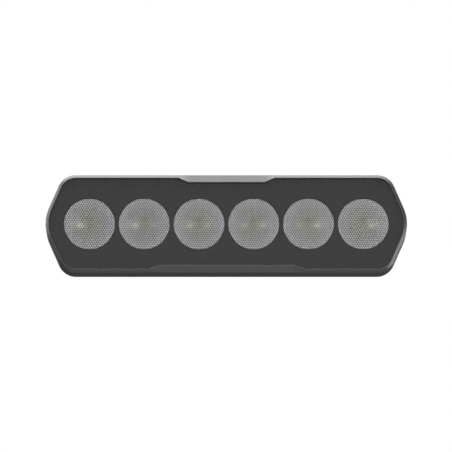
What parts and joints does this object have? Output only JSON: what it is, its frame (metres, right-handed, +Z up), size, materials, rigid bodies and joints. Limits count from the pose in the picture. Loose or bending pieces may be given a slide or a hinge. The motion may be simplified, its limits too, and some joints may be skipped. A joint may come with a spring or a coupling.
{
  "type": "led light bar",
  "caption": "Slim LED light bar with a row of round fly-eye optics in a finned black housing, on a tilting U bracket.",
  "frame": {"origin": "centre of the bracket's two mounting slots, on the bracket's back face, which lies on the vehicle", "axes": "+X along the lamp's length, to the right as seen from in front of the lamp's face; the lamp shines towards -Y; +Z up"},
  "size_m": [0.2812, 0.0975, 0.0762],
  "materials": {
    "black_aluminium": "satin black powder coat on die-cast aluminium",
    "black_steel": "satin black powder coat on pressed steel",
    "clear_cover": "clear hard-coated polycarbonate",
    "black_mask": "satin black plate",
    "silicone": "black silicone",
    "white_board": "white solder mask on a metal-core board",
    "thermal_pad": "grey heat-conducting sheet",
    "green_board": "green circuit board",
    "ferrite": "dark ferrite",
    "capacitor_can": "aluminium can",
    "chip_black": "moulded black epoxy",
    "black_plastic": "moulded black nylon",
    "pin_brass": "plated brass",
    "lead_insulation": "red insulation",
    "holder_black": "black moulded holder",
    "clear_optic": "clear moulded optic with a fly-eye front",
    "led_phosphor": "yellow phosphor under a clear dome",
    "nylon": "natural nylon",
    "screw_steel": "stainless steel"
  },
  "bodies": {
    "bracket": {"bracket": "black_steel"},
    "lamp": {"breather_vent": "black_plastic", "cover_seal": "silicone", "driver_board": "green_board", "driver_board_screws": "screw_steel", "driver_chip": "chip_black", "flat_washer_left": "screw_steel", "flat_washer_right": "screw_steel", "friction_washer_left": "nylon", "friction_washer_right": "nylon", "front_cover": "clear_cover", "housing": "black_aluminium", "inductor": "ferrite", "inlet_nut": "pin_brass", "inlet_pins": "pin_brass", "inlet_seal": "silicone", "inlet_shell": "black_plastic", "input_capacitor": "capacitor_can", "lead_grommet": "silicone", "led_1": "led_phosphor", "led_2": "led_phosphor", "led_3": "led_phosphor", "led_4": "led_phosphor", "led_5": "led_phosphor", "led_6": "led_phosphor", "led_board": "white_board", "led_board_screws": "screw_steel", "led_leads": "lead_insulation", "lens_mask": "black_mask", "lock_washer_left": "screw_steel", "lock_washer_right": "screw_steel", "optic_1": "clear_optic", "optic_2": "clear_optic", "optic_3": "clear_optic", "optic_4": "clear_optic", "optic_5": "clear_optic", "optic_6": "clear_optic", "optic_holder_1": "holder_black", "optic_holder_2": "holder_black", "optic_holder_3": "holder_black", "optic_holder_4": "holder_black", "optic_holder_5": "holder_black", "optic_holder_6": "holder_black", "output_capacitor": "capacitor_can", "pivot_bolt_left": "screw_steel", "pivot_bolt_right": "screw_steel", "power_transistor": "chip_black", "rear_cover": "black_aluminium", "rear_cover_screws": "screw_steel", "rear_cover_seal": "silicone", "thermal_pad": "thermal_pad"}
  },
  "joints": [
    {"name": "tilt", "type": "hinge", "parent": "bracket", "child": "lamp", "pos_m": [0, -0.026, 0], "axis": [1, 0, 0], "range_deg": [-45, 45]}
  ]
}
